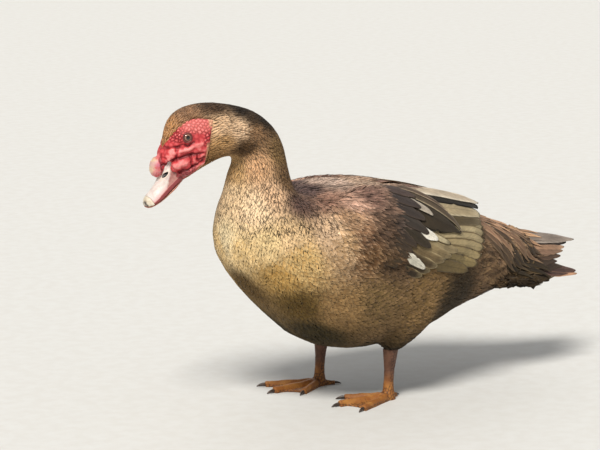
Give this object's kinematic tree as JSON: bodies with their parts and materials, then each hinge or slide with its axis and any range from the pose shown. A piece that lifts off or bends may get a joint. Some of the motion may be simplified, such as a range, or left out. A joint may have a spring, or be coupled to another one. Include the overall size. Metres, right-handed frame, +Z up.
{
  "type": "domestic muscovy duck",
  "caption": "Standing domestic Muscovy drake at life size, brown and buff, with a bare red face, a knob on the bill and its head held low.",
  "frame": {"origin": "on the floor, under the middle of the bird's length and width", "axes": "+X towards the tail, -X the way the bird faces, -Y its left side, +Z up"},
  "size_m": [0.5608, 0.1926, 0.332],
  "materials": {
    "body_plumage": "soft brown feathers with darker scalloping, buff on the breast",
    "neck_plumage": "short buff feathers, finely mottled",
    "head_plumage": "short brown feathers with a raised dark crest",
    "wing_plumage": "dark brown coverts, white patches and pale buff flight feathers",
    "tail_plumage": "stiff streaked brown feathers",
    "bare_skin": "moist red skin, beaded and swollen into lobes",
    "bill": "smooth pinkish white horn",
    "bill_tip": "dark horn",
    "eye": "glossy, hazel iris with a dark pupil",
    "leg_skin": "scaly brown skin, orange brown on the feet",
    "claw": "dark horn"
  },
  "bodies": {
    "root": {"trunk": "body_plumage", "neck": "neck_plumage", "head": "head_plumage", "face_left": "bare_skin", "face_right": "bare_skin", "eye_left": "eye", "eye_right": "eye", "bill_upper": "bill", "bill_lower": "bill", "bill_nail": "bill_tip", "bill_knob": "bare_skin", "wing_left": "wing_plumage", "wing_right": "wing_plumage", "tail": "tail_plumage", "thigh_left": "body_plumage", "thigh_right": "body_plumage", "shank_left": "leg_skin", "shank_right": "leg_skin", "foot_left": "leg_skin", "foot_right": "leg_skin", "claw_outer_left": "claw", "claw_middle_left": "claw", "claw_inner_left": "claw", "claw_hind_left": "claw", "claw_outer_right": "claw", "claw_middle_right": "claw", "claw_inner_right": "claw", "claw_hind_right": "claw"}
  },
  "joints": []
}
